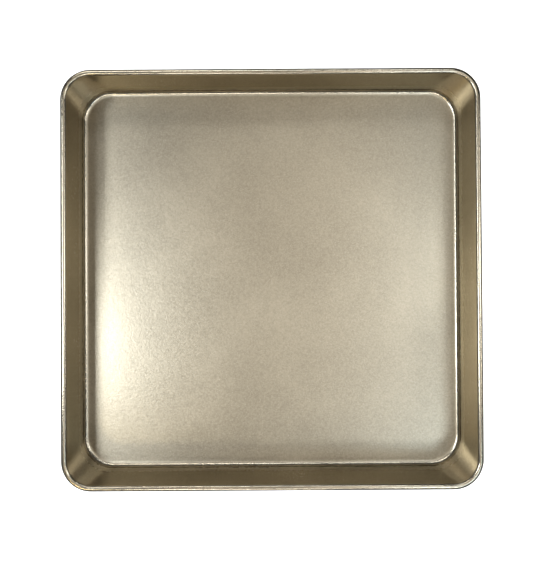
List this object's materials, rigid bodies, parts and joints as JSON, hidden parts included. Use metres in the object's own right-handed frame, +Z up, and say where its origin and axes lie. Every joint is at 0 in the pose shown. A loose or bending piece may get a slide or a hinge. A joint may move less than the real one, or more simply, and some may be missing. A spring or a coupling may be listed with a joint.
{
  "type": "square baking pan",
  "caption": "Square baking pan drawn in one piece from sheet steel, with near-upright walls, rounded base edges and a rim rolled round a steel wire.",
  "frame": {"origin": "centre of the pan's underside, at the bottom centre of the bounding box", "axes": "+Z up out of the open mouth; +X and +Y along the two pairs of sides; the rim wire's butt joint is at the middle of the +Y side"},
  "size_m": [0.286, 0.286, 0.037],
  "materials": {
    "nonstick_coating": "satin champagne-gold metallic non-stick coating",
    "rim_steel": "bare drawn steel wire"
  },
  "bodies": {
    "root": {"pan_shell": "nonstick_coating", "rim_wire": "rim_steel"}
  },
  "joints": []
}
